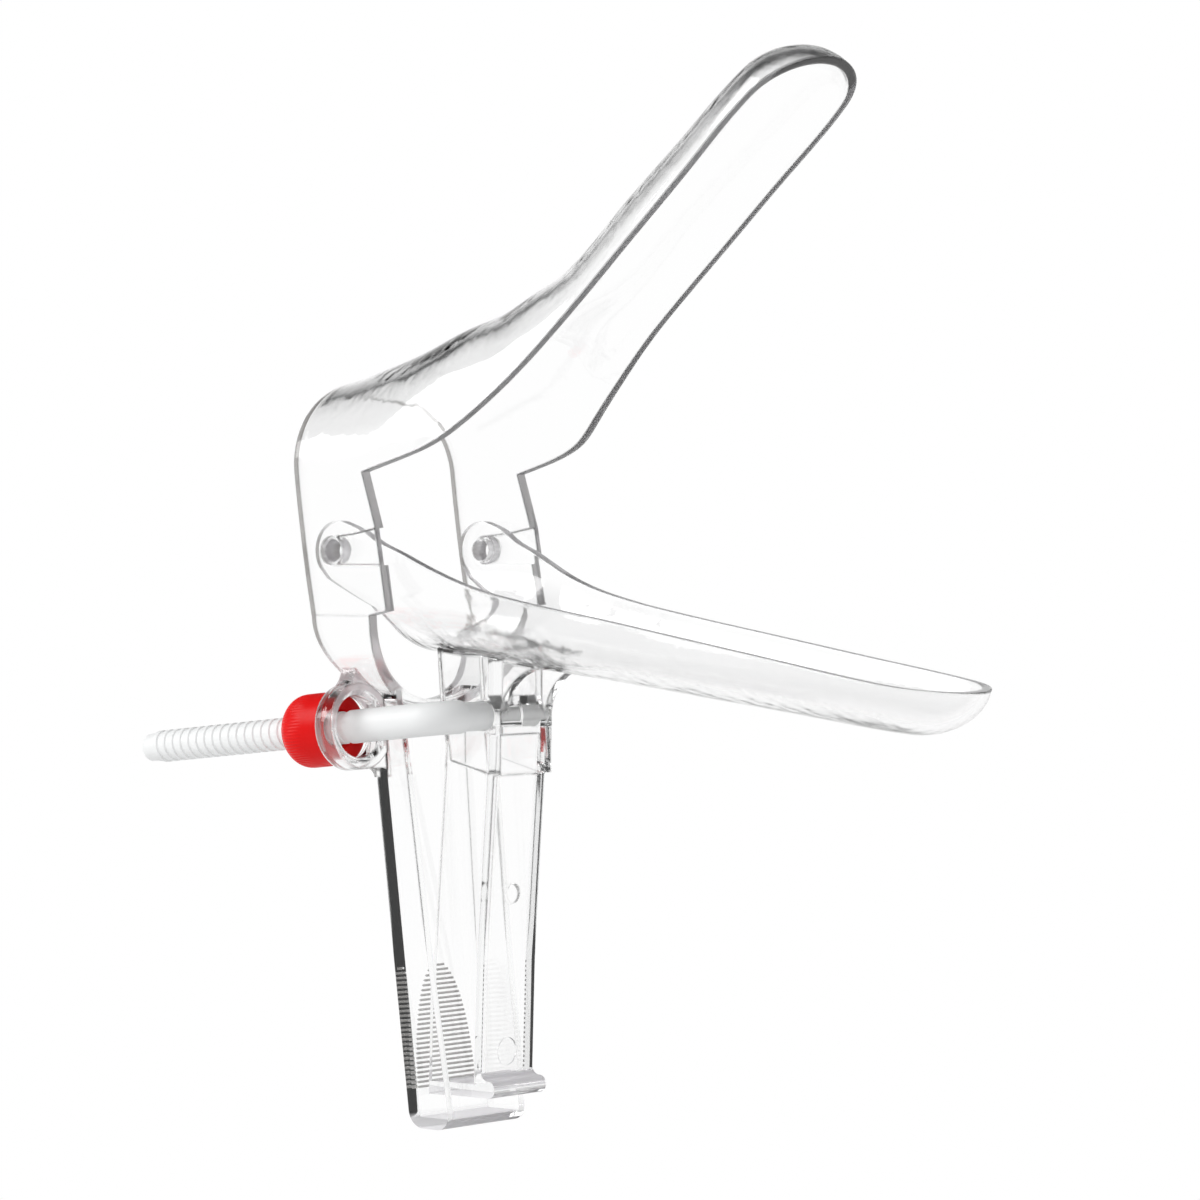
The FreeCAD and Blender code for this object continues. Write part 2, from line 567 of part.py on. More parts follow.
def value_of(expression):
    """The present value of an expression of the sheet."""
    names = {alias: size(alias) for alias, value, note in SIZES}
    total = 0.0
    for term in expression.replace("-", "+-").split("+"):
        factor = 1.0
        term = term.strip()
        if not term:
            continue
        if term.startswith("-"):
            factor = -1.0
            term = term[1:].strip()
        if "/" in term:
            term, divisor = term.split("/")
            factor = factor / float(divisor)
        term = term.strip().replace("Sizes.", "")
        total += factor * (names[term] if term in names else float(term))
    return total


def revolved(body, name, role, points, axis):
    """Turns a closed profile once round one axis of its sketch."""
    sketch = sketch_on(body, role, name + "_profile")
    closed_profile(sketch, points)
    turn = body.newObject("PartDesign::Revolution", name)
    turn.Profile = sketch
    turn.ReferenceAxis = (sketch, [axis])
    turn.Angle = 360.0
    doc.recompute()
    return turn


def ring_edges(shape, place, axis, radius):
    """Names of the round edges of that radius whose centre lies at a place along an axis."""
    names = []
    for number, edge in enumerate(shape.Edges, start=1):
        if isinstance(edge.Curve, Part.Circle) and abs(edge.Curve.Radius - radius) < 0.01:
            if abs(edge.Curve.Center[axis] - place) < 0.01:
                names.append(f"Edge{number}")
    return names


def rounded_ring(body, name, base, place, axis, radius, rounding):
    """Rounds one round edge of a body."""
    fillet = body.newObject("PartDesign::Fillet", name)
    fillet.Base = (base, ring_edges(base.Shape, place, axis, radius))
    fillet.Radius = value_of(rounding)
    fillet.setExpression("Radius", rounding)
    doc.recompute()
    return fillet


def place_on_rod(distance):
    """Placement with its X axis running from the arm towards the free end of the rod."""
    arm = Vector(size("arm_x"), -size("rod_offset"), size("arm_z"))
    return Placement(arm + rod_axis() * distance, Rotation(Vector(1, 0, 0), rod_axis()))


def screw_rod():
    """Bent rod: a threaded length, a plain shank, an elbow and the arm that turns in the head."""
    body = doc.addObject("PartDesign::Body", "screw_rod")
    radius = "Sizes.rod_diameter / 2"
    revolved(body, "shank", "XY_Plane", [
        ("Sizes.elbow_radius", 0),
        ("Sizes.elbow_radius", radius),
        ("Sizes.shank_length", radius),
        ("Sizes.shank_length + 0.4", "Sizes.thread_diameter / 2"),
        ("Sizes.rod_length - 2.4", "Sizes.thread_diameter / 2"),
        ("Sizes.rod_length - 1.9", "Sizes.thread_diameter / 2 - 0.4"),
        ("Sizes.rod_length - 0.5", "Sizes.thread_diameter / 2 - 0.4"),
        ("Sizes.rod_length", "Sizes.thread_diameter / 2 - 0.9"),
        ("Sizes.rod_length", 0),
    ], "H_Axis")
    bend = sketch_on(body, "YZ_Plane", "elbow_profile")
    bend.AttachmentOffset = Placement(Vector(0, 0, size("elbow_radius")), Rotation())
    bend.setExpression("AttachmentOffset.Base.z", "Sizes.elbow_radius")
    bend.addGeometry(Part.Circle(Vector(0, 0, 0), Vector(0, 0, 1), size("rod_diameter") / 2), False)
    bend.addConstraint(Sketcher.Constraint("Coincident", 0, 3, -1, 1))
    across = bend.addConstraint(Sketcher.Constraint("Radius", 0, size("rod_diameter") / 2))
    bend.setExpression(f"Constraints[{across}]", radius)
    away = size("elbow_radius")
    line = bend.addGeometry(Part.LineSegment(Vector(away, -5, 0), Vector(away, 5, 0)), True)
    bend.addConstraint(Sketcher.Constraint("Vertical", line))
    far = bend.addConstraint(Sketcher.Constraint("DistanceX", -1, 1, line, 1, away))
    bend.setExpression(f"Constraints[{far}]", "Sizes.elbow_radius")
    bend.addConstraint(Sketcher.Constraint("DistanceY", -1, 1, line, 2, 5.0))
    bend.addConstraint(Sketcher.Constraint("DistanceY", line, 1, line, 2, 10.0))
    elbow = body.newObject("PartDesign::Revolution", "elbow")
    elbow.Profile = bend
    elbow.ReferenceAxis = (bend, ["Axis0"])
    elbow.Angle = 90.0
    doc.recompute()
    arc_volume = math.pi ** 2 / 2 * (size("rod_diameter") / 2) ** 2 * away
    shank_volume = body.Tip.BaseFeature.Shape.Volume if body.Tip.BaseFeature else 0.0
    if elbow.Shape.Volume < shank_volume + 0.9 * arc_volume:
        elbow.Reversed = True
        doc.recompute()
    neck_end = "Sizes.rod_offset - 4.8"
    arm_end = "Sizes.rod_offset + Sizes.arm_reach"
    arm = revolved(body, "arm", "XY_Plane", [
        (0, "Sizes.elbow_radius"),
        (radius, "Sizes.elbow_radius"),
        (radius, "Sizes.rod_offset - Sizes.neck_start"),
        ("Sizes.neck_diameter / 2", "Sizes.rod_offset - Sizes.neck_start"),
        ("Sizes.neck_diameter / 2", neck_end),
        ("Sizes.arm_diameter / 2", neck_end),
        ("Sizes.arm_diameter / 2", arm_end),
        (0, arm_end),
    ], "V_Axis")
    rounded_ring(body, "arm_end_round", arm, value_of(arm_end), 1, size("arm_diameter") / 2, "1.0")
    body.Placement = place_on_rod(0.0)
    doc.recompute()
    return body


def lock_nut():
    """Round nut: a smooth collar towards the screw eye, then a grooved grip with a rounded end."""
    body = doc.addObject("PartDesign::Body", "lock_nut")
    outer = "Sizes.nut_diameter / 2"
    bore = "Sizes.thread_diameter / 2 + Sizes.nut_clearance"
    barrel = revolved(body, "barrel", "XY_Plane", [
        (0, "Sizes.thread_diameter / 2 + Sizes.nut_clearance + 0.5"),
        (0, "Sizes.nut_diameter / 2 - 0.4"),
        ("0.4", outer),
        ("Sizes.nut_length", outer),
        ("Sizes.nut_length", "Sizes.thread_diameter / 2 + Sizes.nut_clearance + 0.5"),
        ("Sizes.nut_length - 0.5", bore),
        ("0.5", bore),
    ], "H_Axis")
    dome = rounded_ring(body, "outer_round", barrel, size("nut_length"), 0,
                        size("nut_diameter") / 2, "Sizes.nut_round")
    cutter = sketch_on(body, "YZ_Plane", "groove_profile")
    cutter.AttachmentOffset = Placement(Vector(0, 0, size("nut_length")), Rotation())
    cutter.setExpression("AttachmentOffset.Base.z", "Sizes.nut_length")
    closed_profile(cutter, [
        (0, "Sizes.nut_diameter / 2 - Sizes.knurl_depth"),
        ("0.36", "Sizes.nut_diameter / 2 + 0.05"),
        ("-0.36", "Sizes.nut_diameter / 2 + 0.05"),
    ])
    groove = body.newObject("PartDesign::Pocket", "groove")
    groove.Profile = cutter
    groove.Length = size("nut_length") - size("nut_collar")
    groove.setExpression("Length", "Sizes.nut_length - Sizes.nut_collar")
    doc.recompute()
    if groove.Shape.isNull() or groove.Shape.Volume > dome.Shape.Volume - 0.05:
        groove.Reversed = True
        doc.recompute()
    knurl = body.newObject("PartDesign::PolarPattern", "knurl")
    knurl.Originals = [groove]
    knurl.Axis = (cutter, ["N_Axis"])
    knurl.Angle = 360
    knurl.Occurrences = int(size("knurl_count"))
    knurl.setExpression("Occurrences", "Sizes.knurl_count")
    body.Tip = knurl
    body.Placement = place_on_rod(
        (size("arm_x") - size("eye_x")) / math.cos(math.radians(size("rod_fall")))
        + size("eye_length") / 2 + size("nut_gap"))
    doc.recompute()
    return body


pieces = [upper_valve(), lower_valve(), screw_rod(), lock_nut()]
doc.recompute()
for piece in pieces:
    name = piece.Name
    piece.Label = name
    shape = piece.Shape
    state = [flag for flag in piece.State if flag in ("Invalid", "Error")]
    if state or shape.isNull() or not shape.isValid():
        raise RuntimeError(f"{name} could not be made: {state}")
    box = shape.BoundBox
    print(f"{name}: {len(shape.Solids)} solid, volume {shape.Volume:.0f}, "
          f"X {box.XMin:.1f} to {box.XMax:.1f}, Y {box.YMin:.1f} to {box.YMax:.1f}, "
          f"Z {box.ZMin:.1f} to {box.ZMax:.1f}")
    shape.exportStep(f"parts/{name}.step")
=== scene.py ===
# %% [markdown]
# A clear plastic speculum, held open by its side screw, on a white studio ground.
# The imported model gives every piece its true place. This lesson dresses those pieces:
# first the camera, then the ground and the light, then the finishes, and last the two
# pieces that get a finer shape, the threaded rod and its nut.

# %% Start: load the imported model
import json
import math

import bmesh
import bpy
from mathutils import Matrix, Vector


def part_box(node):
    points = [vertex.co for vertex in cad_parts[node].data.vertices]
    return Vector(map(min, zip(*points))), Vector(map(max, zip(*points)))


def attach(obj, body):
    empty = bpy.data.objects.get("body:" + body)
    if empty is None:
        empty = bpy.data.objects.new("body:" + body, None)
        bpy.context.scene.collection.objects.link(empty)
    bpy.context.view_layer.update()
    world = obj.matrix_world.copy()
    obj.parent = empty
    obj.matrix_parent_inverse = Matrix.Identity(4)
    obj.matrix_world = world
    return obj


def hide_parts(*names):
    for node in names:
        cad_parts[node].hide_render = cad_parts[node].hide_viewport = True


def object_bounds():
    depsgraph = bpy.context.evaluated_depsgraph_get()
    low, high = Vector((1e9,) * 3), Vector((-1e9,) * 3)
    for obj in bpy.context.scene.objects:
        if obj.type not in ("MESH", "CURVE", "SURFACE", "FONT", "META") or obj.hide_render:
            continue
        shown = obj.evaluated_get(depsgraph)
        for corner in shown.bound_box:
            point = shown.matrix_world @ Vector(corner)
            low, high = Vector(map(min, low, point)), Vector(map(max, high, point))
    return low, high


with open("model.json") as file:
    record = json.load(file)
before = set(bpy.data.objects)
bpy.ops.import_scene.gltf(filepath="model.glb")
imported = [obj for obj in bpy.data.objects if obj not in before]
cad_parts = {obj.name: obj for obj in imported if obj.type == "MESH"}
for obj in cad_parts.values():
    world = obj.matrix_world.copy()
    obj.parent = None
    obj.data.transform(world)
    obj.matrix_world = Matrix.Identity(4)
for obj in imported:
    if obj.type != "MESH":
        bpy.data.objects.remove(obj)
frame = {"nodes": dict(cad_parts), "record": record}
nodes = frame["nodes"]
cad_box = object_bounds()
MM = 0.001
print("pieces from the model:", sorted(nodes))

# %% [markdown]
# The photograph was taken with a long lens from the front right, almost level.
# A camera is easiest to place by where it looks and what it sees there: it looks
# 40 degrees round from the side, a little downwards, and the hinge line of the
# speculum lies 750 mm away, left of the middle of the picture and above it.
# A wide lens close by could frame the same piece, but would spread the blades.

# %% Camera
YAW, PITCH = math.radians(40.0), math.radians(0.764)
PICTURE, FOCAL_PX, DEPTH = 1200.0, 4500.0, 0.750
HINGE_X, HINGE_Y = 415.3, 550.4
right = Vector((math.cos(YAW), math.sin(YAW), 0.0))
ahead = Vector((-math.sin(YAW) * math.cos(PITCH), math.cos(YAW) * math.cos(PITCH), -math.sin(PITCH)))
up = right.cross(ahead)
aside = (HINGE_X - PICTURE / 2) / FOCAL_PX * DEPTH
above = (PICTURE / 2 - HINGE_Y) / FOCAL_PX * DEPTH
lens = bpy.data.cameras.new("camera")
lens.sensor_width = 36.0
lens.lens = lens.sensor_width * FOCAL_PX / PICTURE
lens.clip_start, lens.clip_end = 0.01, 20.0
camera = bpy.data.objects.new("camera", lens)
camera.location = -(right * aside + up * above + ahead * DEPTH)
camera.rotation_euler = ahead.to_track_quat("-Z", "Y").to_euler()
bpy.context.scene.collection.objects.link(camera)
bpy.context.scene.camera = camera
print("camera at", [round(c, 4) for c in camera.location])

# %% [markdown]
# Every finish below is a small tree of nodes. Four helpers keep the trees short: one
# starts an empty material, one adds a node with its settings, one gives its sockets
# their constant values, and one works out a new value from two others.

# %% Helpers for node materials
def new_material(name):
    """An empty material with its tree and its output."""
    material = bpy.data.materials.new(name)
    material.use_nodes = True
    tree = material.node_tree
    tree.nodes.clear()
    return material, tree, tree.nodes.new("ShaderNodeOutputMaterial")


def add(tree, kind, **settings):
    """A new node with its settings."""
    node = tree.nodes.new(kind)
    for key, value in settings.items():
        setattr(node, key, value)
    return node


def preset(node, **values):
    """Constant values on a node's own sockets, named with _ for a space."""
    for name, value in values.items():
        node.inputs[name.replace("_", " ")].default_value = value


def combine(tree, operation, first, second):
    """A value worked out from two others, each a socket or a plain number."""
    node = add(tree, "ShaderNodeMath", operation=operation)
    for socket, value in zip(node.inputs, (first, second)):
        if isinstance(value, float):
            socket.default_value = value
        else:
            tree.links.new(value, socket)
    return node.outputs[0]


# %% [markdown]
# Clear plastic shows nothing but what lies behind it and what it mirrors, so the
# ground is half of the finish. Light Path tells which kind of ray asks: the camera
# and the rays that plastic mirrors or bends see pure white, while the light that the
# ground gives back stays that of pale paper. Real lamps bright enough to burn the
# paper out would also burn out the white rod.

# %% A switch for rays that look at the background
def seen_directly(tree):
    """1 for camera rays and for rays that gloss or clear plastic sends on, otherwise 0."""
    path = add(tree, "ShaderNodeLightPath")
    total = path.outputs["Is Camera Ray"]
    for kind in ("Is Glossy Ray", "Is Transmission Ray"):
        total = combine(tree, "MAXIMUM", total, path.outputs[kind])
    return total


# %% Floor
FLOOR_SIZE, FLOOR_GAP = 8.0, 0.5 * MM
paper, tree, output = new_material("white_ground")
dull = add(tree, "ShaderNodeBsdfDiffuse")
preset(dull, Color=(0.90, 0.90, 0.90, 1.0))
white = add(tree, "ShaderNodeEmission")
preset(white, Color=(1.0, 1.0, 1.0, 1.0), Strength=1.0)
choice = add(tree, "ShaderNodeMixShader")
tree.links.new(seen_directly(tree), choice.inputs["Fac"])
tree.links.new(dull.outputs[0], choice.inputs[1])
tree.links.new(white.outputs[0], choice.inputs[2])
tree.links.new(choice.outputs[0], output.inputs["Surface"])
sheet = bmesh.new()
bmesh.ops.create_grid(sheet, x_segments=8, y_segments=8, size=FLOOR_SIZE / 2)
bmesh.ops.translate(sheet, verts=sheet.verts, vec=(0.0, 0.0, cad_box[0][2] - FLOOR_GAP))
mesh = bpy.data.meshes.new("floor")
sheet.to_mesh(mesh)
sheet.free()
mesh.materials.append(paper)
floor = bpy.data.objects.new("floor", mesh)
bpy.context.scene.collection.objects.link(floor)
print("floor", FLOOR_SIZE, "m wide at height", round(cad_box[0][2], 4))

# %% [markdown]
# In a studio the walls are white up to the lamps, and the room above them is dark.
# Clear plastic draws its outline with dark parts of the room that only slanted walls
# and rounded edges bend into view, so a photographer of glass stands narrow black
# cards upright round the object, outside the picture. The world here has both, for
# mirrored and bent rays only: dark overhead, and eight cards between the main views.

# %% World: the room above
WHITE_UP_TO, DARK_FROM, DARK = 0.24, 0.55, 0.12
bpy.context.scene.view_settings.view_transform = "Standard"
world = bpy.data.worlds.new("studio")
bpy.context.scene.world = world
world.use_nodes = True
tree = world.node_tree
tree.nodes.clear()
output = add(tree, "ShaderNodeOutputWorld")
direction = add(tree, "ShaderNodeTexCoord")
split = add(tree, "ShaderNodeSeparateXYZ")
tree.links.new(direction.outputs["Generated"], split.inputs[0])
overhead = add(tree, "ShaderNodeMapRange")
preset(overhead, From_Min=WHITE_UP_TO, From_Max=DARK_FROM, To_Min=1.0, To_Max=DARK)
tree.links.new(split.outputs["Z"], overhead.inputs["Value"])
print("white up to a slope of", WHITE_UP_TO, "and dark from", DARK_FROM)

# %% World: the black cards
CARDS, CARD_FULL, CARD_EDGE = 8, -0.96, -0.78
bearing = combine(tree, "ARCTAN2", split.outputs["Y"], split.outputs["X"])
wave = add(tree, "ShaderNodeMath", operation="COSINE")
tree.links.new(combine(tree, "MULTIPLY", bearing, float(CARDS)), wave.inputs[0])
card = add(tree, "ShaderNodeMapRange")
preset(card, From_Min=CARD_FULL, From_Max=CARD_EDGE, To_Min=DARK, To_Max=1.0)
tree.links.new(wave.outputs[0], card.inputs["Value"])
print("cards every", 360 / CARDS, "degrees")

# %% World: put together
both = combine(tree, "MULTIPLY", overhead.outputs["Result"], card.outputs["Result"])
room = add(tree, "ShaderNodeBackground")
tree.links.new(both, room.inputs["Color"])
soft = add(tree, "ShaderNodeBackground")
preset(soft, Color=(0.98, 0.99, 1.0, 1.0), Strength=0.60)
studio = add(tree, "ShaderNodeMixShader")
tree.links.new(seen_directly(tree), studio.inputs["Fac"])
tree.links.new(soft.outputs[0], studio.inputs[1])
tree.links.new(room.outputs[0], studio.inputs[2])
page = add(tree, "ShaderNodeBackground")
preset(page, Color=(1.0, 1.0, 1.0, 1.0), Strength=1.0)
behind = add(tree, "ShaderNodeLightPath")
choice = add(tree, "ShaderNodeMixShader")
tree.links.new(behind.outputs["Is Camera Ray"], choice.inputs["Fac"])
tree.links.new(studio.outputs[0], choice.inputs[1])
tree.links.new(page.outputs[0], choice.inputs[2])
tree.links.new(choice.outputs[0], output.inputs["Surface"])
print("world of", len(tree.nodes), "nodes")

# %% [markdown]
# Two large soft lamps give the rod and the nut their roundness: the key from the
# left and above, which leaves the outside of the rod's elbow in shade as it is in the
# photograph, and a much weaker fill from the right. Area lamps are chosen because
# their size softens the edge of each shade.

# %% Lamps
LOOKED_AT = Vector((0.03, 0.0, 0.0))


def soft_lamp(name, place, size, power):
    """A rectangular lamp that looks at the middle of the object."""
    light = bpy.data.lights.new(name, "AREA")
    light.shape = "RECTANGLE"
    light.size, light.size_y = size
    light.energy = power
    lamp = bpy.data.objects.new(name, light)
    lamp.location = place
    lamp.rotation_euler = (LOOKED_AT - Vector(place)).to_track_quat("-Z", "Y").to_euler()
    bpy.context.scene.collection.objects.link(lamp)
    print(name, power, "W")


soft_lamp("key", (-0.9, -1.2, 1.0), (1.1, 1.1), 17.0)
soft_lamp("fill", (1.3, -0.5, 0.7), (0.8, 1.2), 1.0)

# %% [markdown]
# Moulded edges are never sharp. Thick rims are rounded by about half a millimetre and
# fine ribs by far less, and in clear plastic it is the rounding that draws each edge
# as a dark line with a bright one beside it. Bevelling thousands of edges in the mesh
# would be slow and would move the wall, so a Bevel node bends only the shading normal.

# %% Rounded edges for any finish
def rounded_edges(tree, radius):
    """The shading normal, rounded near each sharp edge."""
    bevel = add(tree, "ShaderNodeBevel", samples=6)
    preset(bevel, Radius=radius)
    return bevel


# %% [markdown]
# The valves are moulded in clear polystyrene. A Principled shader with full
# transmission bends light as the real wall does. A very slow noise in the roughness
# stands for the flow of the melt, and a little absorption makes long ways through
# the wall, such as along a rim, greyer than the short way across it.

# %% Clear plastic: the body and the flow of the melt
clear, tree, output = new_material("clear_polystyrene")
body = add(tree, "ShaderNodeBsdfPrincipled")
preset(body, Base_Color=(1.0, 1.0, 1.0, 1.0), Transmission_Weight=1.0, IOR=1.56)
place = add(tree, "ShaderNodeTexCoord")
flow = add(tree, "ShaderNodeTexNoise")
preset(flow, Scale=60.0, Detail=1.0)
haze = add(tree, "ShaderNodeMapRange")
preset(haze, To_Min=0.0, To_Max=0.015)
ripple = add(tree, "ShaderNodeBump")
preset(ripple, Strength=0.10, Distance=0.0003)
tree.links.new(place.outputs["Object"], flow.inputs["Vector"])
tree.links.new(flow.outputs["Fac"], haze.inputs["Value"])
tree.links.new(haze.outputs["Result"], body.inputs["Roughness"])
tree.links.new(flow.outputs["Fac"], ripple.inputs["Height"])
tree.links.new(ripple.outputs["Normal"], body.inputs["Normal"])
print(clear.name, "bends light by", round(body.inputs["IOR"].default_value, 2))

# %% Clear plastic: rounded edges, finer at the grip
RIM_ROUNDING, GRIP_ROUNDING = 0.65 * MM, 0.05 * MM
HANDLES_BELOW, GRIP_BELOW = -60.0 * MM, -66.0 * MM
bevel = rounded_edges(tree, RIM_ROUNDING)
split = add(tree, "ShaderNodeSeparateXYZ")
softer = add(tree, "ShaderNodeMapRange")
preset(softer, From_Min=GRIP_BELOW, From_Max=HANDLES_BELOW, To_Min=GRIP_ROUNDING, To_Max=RIM_ROUNDING)
tree.links.new(place.outputs["Object"], split.inputs[0])
tree.links.new(split.outputs["Z"], softer.inputs["Value"])
tree.links.new(softer.outputs["Result"], bevel.inputs["Radius"])
tree.links.new(bevel.outputs["Normal"], ripple.inputs["Normal"])
print("rims rounded by", RIM_ROUNDING / MM, "mm and the grip by", GRIP_ROUNDING / MM, "mm")

# %% Clear plastic: absorption
through = add(tree, "ShaderNodeVolumeAbsorption")
preset(through, Color=(0.52, 0.54, 0.545, 1.0), Density=8.0)
tree.links.new(through.outputs[0], output.inputs["Volume"])
print("absorption", through.inputs["Density"].default_value, "per metre")

# %% [markdown]
# Where the two halves of the mould meet, along the rims of the blades and the front
# edges of the cheeks, the plastic is slightly matt, and the rims glow pale grey with
# the light caught there. A painted mask would need an unwrapped surface. The rims
# can be told by their own normal instead: it lies in the side view and leans forward,
# and they are far from the middle plane, where no other such face is.

# %% Helpers to pick faces by their normal and their place
facing = add(tree, "ShaderNodeSeparateXYZ")
tree.links.new(place.outputs["Normal"], facing.inputs[0])


def size_of(source):
    """A value without its sign."""
    plain = add(tree, "ShaderNodeMath", operation="ABSOLUTE")
    tree.links.new(source, plain.inputs[0])
    return plain.outputs[0]


def share(source, low, high, most=1.0):
    """Rises from 0 to its most while a value goes from low to high."""
    rise = add(tree, "ShaderNodeMapRange")
    preset(rise, From_Min=low, From_Max=high, To_Min=0.0, To_Max=most)
    tree.links.new(source, rise.inputs["Value"])
    return rise.outputs["Result"]


def product(*parts):
    """All the shares together, which is where each of them holds."""
    total = parts[0]
    for part in parts[1:]:
        total = combine(tree, "MULTIPLY", total, part)
    return total


# %% Clear plastic: where the rims are
RIM_MATT = 0.58
RIMS_BEYOND, RIMS_ABOVE = 9.5 * MM, -27.0 * MM
rims = product(
    share(facing.outputs["X"], 0.04, 0.14, RIM_MATT),
    share(size_of(facing.outputs["Y"]), 0.25, 0.10),
    share(size_of(split.outputs["Y"]), RIMS_BEYOND, RIMS_BEYOND + 1.0 * MM),
    share(split.outputs["Z"], RIMS_ABOVE - 4.0 * MM, RIMS_ABOVE),
)
print("rims are matt for", RIM_MATT, "of their light")

# %% [markdown]
# The ribs of the grip and the ends of both handles are cut into the mould and left
# unpolished, so their faces that look up or down are a little matt too. They need no
# painted mask either: a face that looks up or down, that low, is always one of them.
# The ends catch as much light as the rims. Between the ribs little light gets out,
# so those few faces, near the back of the lever, take a darker grey: painted shade.

# %% Clear plastic: where the grip and the handle ends are
GRIP_MATT = 0.60
GRIP_REACH, GRIP_FOOT = 9.0 * MM, -90.0 * MM
low_down = share(split.outputs["Z"], HANDLES_BELOW, GRIP_BELOW)
flat = product(share(size_of(facing.outputs["Z"]), 0.25, 0.55, GRIP_MATT), low_down)
# Painted shade: the faces between the ribs, which take the dark grey.
rib_painted_shade = product(
    share(split.outputs["X"], GRIP_REACH + 1.0 * MM, GRIP_REACH),
    share(split.outputs["Z"], GRIP_FOOT - 1.0 * MM, GRIP_FOOT),
    low_down,
)
print("grip and handle ends are matt for", GRIP_MATT, "of their light")

# %% [markdown]
# The rear edge of the collar is dark right round in the photograph. It is seen through
# the wall, where its flat face only mirrors the white room, so a painted shade, a darker
# grey carried by the matt shader, is given to the faces behind the hinge that look along
# the blades. A normal that is seen from inside the wall points the other way, so its sign
# is left out.

# %% Clear plastic: painted shade on the collar's rear edge
# Painted shade: how much of the dark grey the collar's rear edge takes.
REAR_PAINTED_SHADE = 0.85
REAR_BEYOND, REAR_ABOVE = -3.0 * MM, -20.0 * MM
rear = product(
    share(size_of(facing.outputs["X"]), 0.70, 0.88),
    share(split.outputs["X"], REAR_BEYOND, REAR_BEYOND - 1.0 * MM),
    share(split.outputs["Z"], REAR_ABOVE, REAR_ABOVE + 4.0 * MM),
)
# This share is painted shade, though the print calls it matt.
print("the collar's rear edge is matt for", REAR_PAINTED_SHADE, "of its light")

# %% [markdown]
# A Translucent shader catches light on one side and gives it out on the other, as a
# ground surface on clear plastic does. Mixed in by the shares above, it turns only the
# chosen faces matt. Its colour goes from pale over into a dark grey, painted shade,
# on the faces between the ribs and on the collar's rear edge.

# %% Clear plastic: put together
# PALE is the colour of the matt plastic; the dark grey beside it is painted shade.
PALE, PAINTED_SHADE_GREY = (0.90, 0.89, 0.91, 1.0), (0.33, 0.32, 0.31, 1.0)
tint = add(tree, "ShaderNodeMix", data_type="RGBA")
tint.inputs["A"].default_value = PALE
tint.inputs["B"].default_value = PAINTED_SHADE_GREY
tree.links.new(combine(tree, "MAXIMUM", rib_painted_shade, rear), tint.inputs["Factor"])
matt = add(tree, "ShaderNodeBsdfTranslucent")
tree.links.new(tint.outputs["Result"], matt.inputs["Color"])
# The rear edge's share here brings in its painted shade.
handles_or_rear = combine(tree, "MAXIMUM", flat, share(rear, 0.0, 1.0, REAR_PAINTED_SHADE))
finish = add(tree, "ShaderNodeMixShader")
tree.links.new(combine(tree, "MAXIMUM", rims, handles_or_rear), finish.inputs["Fac"])
tree.links.new(body.outputs[0], finish.inputs[1])
tree.links.new(matt.outputs[0], finish.inputs[2])
tree.links.new(finish.outputs[0], output.inputs["Surface"])
print(clear.name, "has", len(tree.nodes), "nodes")

# %% [markdown]
# The rod and the nut are opaque. Moulded plastic has a faint unevenness in colour and
# a skin that is a little rougher in some places: one noise drives the colour, a finer
# one the gloss and the bump.

# %% Opaque plastics
def plain_plastic(name, colour, shade, gloss, mirror, rounding):
    """An opaque moulded plastic, with a slightly darker shade in patches."""
    material, tree, output = new_material(name)
    shader = add(tree, "ShaderNodeBsdfPrincipled")
    preset(shader, IOR=1.5, Specular_IOR_Level=mirror)
    place = add(tree, "ShaderNodeTexCoord")
    cloud = add(tree, "ShaderNodeTexNoise")
    preset(cloud, Scale=180.0, Detail=3.0)
    tone = add(tree, "ShaderNodeMix", data_type="RGBA")
    tone.inputs["A"].default_value = tuple(channel * shade for channel in colour) + (1.0,)
    tone.inputs["B"].default_value = colour + (1.0,)
    grain = add(tree, "ShaderNodeTexNoise")
    preset(grain, Scale=1400.0, Detail=2.0)
    rough = add(tree, "ShaderNodeMapRange")
    preset(rough, To_Min=gloss - 0.06, To_Max=gloss + 0.08)
    skin = add(tree, "ShaderNodeBump")
    preset(skin, Strength=0.10, Distance=0.00008)
    for noise in (cloud, grain):
        tree.links.new(place.outputs["Object"], noise.inputs["Vector"])
    tree.links.new(cloud.outputs["Fac"], tone.inputs["Factor"])
    tree.links.new(tone.outputs["Result"], shader.inputs["Base Color"])
    tree.links.new(grain.outputs["Fac"], rough.inputs["Value"])
    tree.links.new(rough.outputs["Result"], shader.inputs["Roughness"])
    tree.links.new(grain.outputs["Fac"], skin.inputs["Height"])
    tree.links.new(rounded_edges(tree, rounding).outputs["Normal"], skin.inputs["Normal"])
    tree.links.new(skin.outputs["Normal"], shader.inputs["Normal"])
    tree.links.new(shader.outputs[0], output.inputs["Surface"])
    print(name, "has", len(tree.nodes), "nodes")
    return material


white_plastic = plain_plastic("white_plastic", (0.94, 0.945, 0.94), 0.96, 0.42, 0.4, 0.12 * MM)
red_plastic = plain_plastic("red_plastic", (0.84, 0.004, 0.004), 0.92, 0.30, 0.16, 0.12 * MM)

# %% [markdown]
# The model carries the rod as plain cylinders, because a thread is far too fine to
# collide with. Here it gets its real form: an arm with a rounded end, a thicker neck,
# an elbow, a smooth shank, a thinner core under the thread and a plain lead at the end.
# All of it is one round section carried along the rod, so a circle is extruded again
# and again, and spun through the elbow. Its place comes from the pivot and the slide
# that the model states, and its lengths are those of the model, apart from its end:
# it stops a twentieth of a millimetre short, to stay within the model's flat facets.

